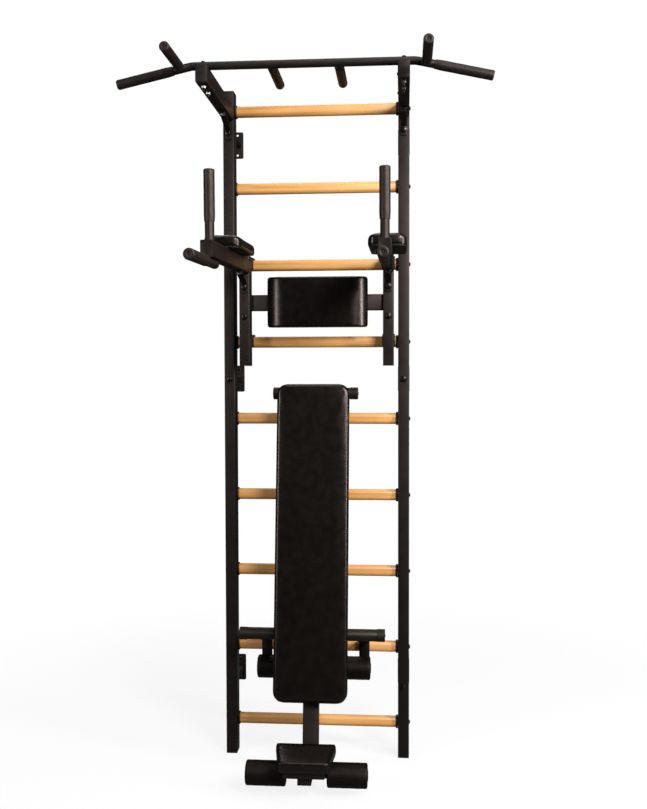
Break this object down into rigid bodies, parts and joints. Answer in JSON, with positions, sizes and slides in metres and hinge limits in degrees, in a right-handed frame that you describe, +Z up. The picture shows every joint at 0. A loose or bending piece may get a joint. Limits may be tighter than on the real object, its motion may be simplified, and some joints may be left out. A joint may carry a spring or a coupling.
{
  "type": "wall-mounted climbing ladder gym",
  "caption": "Wall-mounted gym ladder with wooden rungs, a multi-grip pull-up bar, a padded dip station with backrest, and a sit-up bench hung on the rungs.",
  "frame": {"origin": "on the floor, half-way between the posts, on the surface of the wall behind the ladder", "axes": "+X to the right seen from the room, +Y into the wall, +Z up"},
  "size_m": [1.1886, 1.1764, 2.415],
  "materials": {
    "black_steel": "satin",
    "beech": "satin",
    "black_vinyl": "satin",
    "black_foam": "matte",
    "black_plastic": "matte"
  },
  "bodies": {
    "ladder": {"left_post": "black_steel", "left_top_cap": "black_plastic", "left_foot_cap": "black_plastic", "right_post": "black_steel", "right_top_cap": "black_plastic", "right_foot_cap": "black_plastic", "rung_1": "beech", "rung_2": "beech", "rung_3": "beech", "rung_4": "beech", "rung_5": "beech", "rung_6": "beech", "rung_7": "beech", "rung_8": "beech", "rung_9": "beech", "left_upper_wall_bracket": "black_steel", "left_middle_wall_bracket": "black_steel", "left_lower_wall_bracket": "black_steel", "right_upper_wall_bracket": "black_steel", "right_middle_wall_bracket": "black_steel", "right_lower_wall_bracket": "black_steel", "pull_up_bar": "black_steel", "left_pull_up_arm": "black_steel", "left_pull_up_strut": "black_steel", "left_forward_grip": "black_foam", "left_inner_grip": "black_foam", "left_wing_grip": "black_foam", "right_pull_up_arm": "black_steel", "right_pull_up_strut": "black_steel", "right_forward_grip": "black_foam", "right_inner_grip": "black_foam", "right_wing_grip": "black_foam"},
    "dip_station": {"left_dip_upright": "black_steel", "left_dip_arm": "black_steel", "left_handle_grip": "black_foam", "left_lower_grip": "black_foam", "left_elbow_pad": "black_vinyl", "left_dip_strut": "black_steel", "right_dip_upright": "black_steel", "right_dip_arm": "black_steel", "right_handle_grip": "black_foam", "right_lower_grip": "black_foam", "right_elbow_pad": "black_vinyl", "right_dip_strut": "black_steel", "backrest_cross_tube": "black_steel", "backrest_pad": "black_vinyl"},
    "bench": {"bench_pad": "black_vinyl", "bench_beam": "black_steel", "foot_bar": "black_steel", "hook_bar": "black_steel", "ankle_roller_bracket": "black_steel"},
    "seat_carriage": {"seat_carriage": "black_steel", "seat_pad": "black_vinyl"},
    "clamp_knob": {"clamp_knob": "black_plastic"},
    "left_ankle_roller": {"left_ankle_roller": "black_foam"},
    "right_ankle_roller": {"right_ankle_roller": "black_foam"},
    "left_knee_roller": {"left_knee_roller": "black_foam"},
    "right_knee_roller": {"right_knee_roller": "black_foam"}
  },
  "joints": [
    {"name": "dip_station_lift", "type": "slide", "parent": "ladder", "child": "dip_station", "axis": [0, 0, 1], "range_m": [0, 0.07]},
    {"name": "bench_lift", "type": "slide", "parent": "ladder", "child": "bench", "axis": [0, 0, 1], "range_m": [0, 0.06]},
    {"name": "seat_slide", "type": "slide", "parent": "bench", "child": "seat_carriage", "axis": [0, 0.1478, 0.989], "range_m": [0, 0.06]},
    {"name": "clamp_turn", "type": "hinge", "parent": "bench", "child": "clamp_knob", "pos_m": [0.03, -0.36175, 0.3157], "axis": [1, 0, 0], "range_deg": [-180, 180]},
    {"name": "left_ankle_spin", "type": "hinge", "parent": "bench", "child": "left_ankle_roller", "pos_m": [-0.1405, -0.259, 0.345], "axis": [1, 0, 0], "continuous": true},
    {"name": "right_ankle_spin", "type": "hinge", "parent": "bench", "child": "right_ankle_roller", "pos_m": [0.1305, -0.259, 0.345], "axis": [1, 0, 0], "continuous": true},
    {"name": "left_knee_spin", "type": "hinge", "parent": "seat_carriage", "child": "left_knee_roller", "pos_m": [-0.1405, -0.544, 0.073], "axis": [1, 0, 0], "continuous": true},
    {"name": "right_knee_spin", "type": "hinge", "parent": "seat_carriage", "child": "right_knee_roller", "pos_m": [0.1305, -0.544, 0.073], "axis": [1, 0, 0], "continuous": true}
  ]
}
